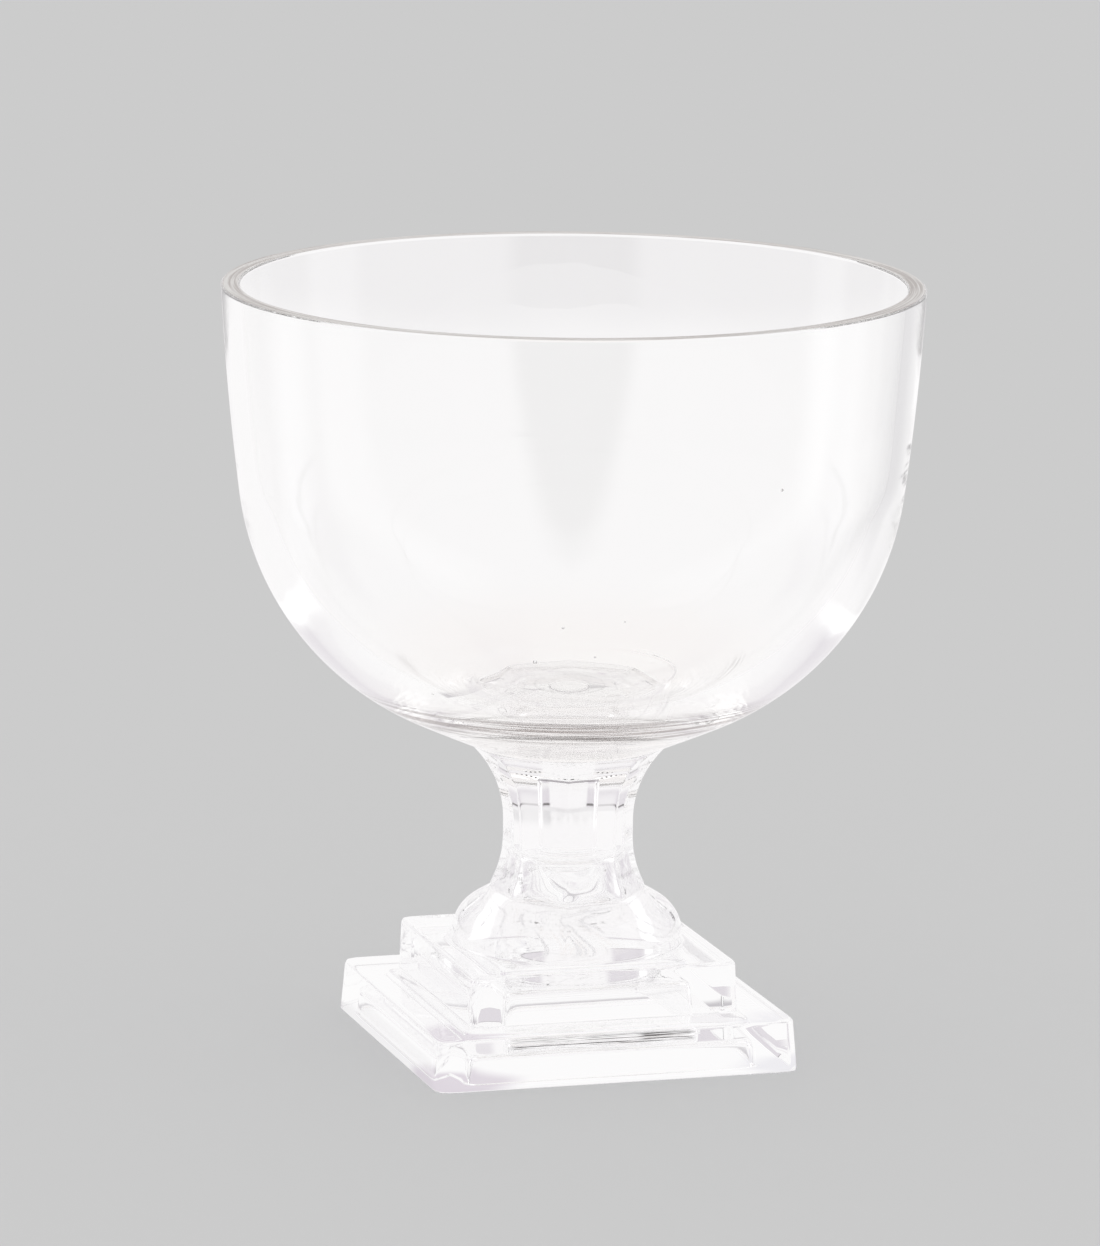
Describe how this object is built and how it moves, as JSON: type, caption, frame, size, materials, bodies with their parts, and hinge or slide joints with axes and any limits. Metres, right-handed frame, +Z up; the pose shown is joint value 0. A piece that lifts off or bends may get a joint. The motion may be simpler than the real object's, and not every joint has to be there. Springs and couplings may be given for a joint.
{
  "type": "floating candle bowl",
  "caption": "Clear glass pedestal bowl for floating candles: deep round bowl with a ground rim on a faceted stem and a stepped square plinth, hollow from below.",
  "frame": {"origin": "middle of the foot's underside, on the surface that it stands on", "axes": "+Z up along the bowl and the stem; X and Y along the sides of the square plinth"},
  "size_m": [0.2, 0.2, 0.22],
  "materials": {
    "bowl_glass": "clear blown glass, fire-polished walls and a ground rim",
    "bond": "clear cured adhesive",
    "foot_glass": "clear pressed glass with softened edges"
  },
  "bodies": {
    "root": {"bowl": "bowl_glass", "bond_film": "bond", "foot": "foot_glass"}
  },
  "joints": []
}
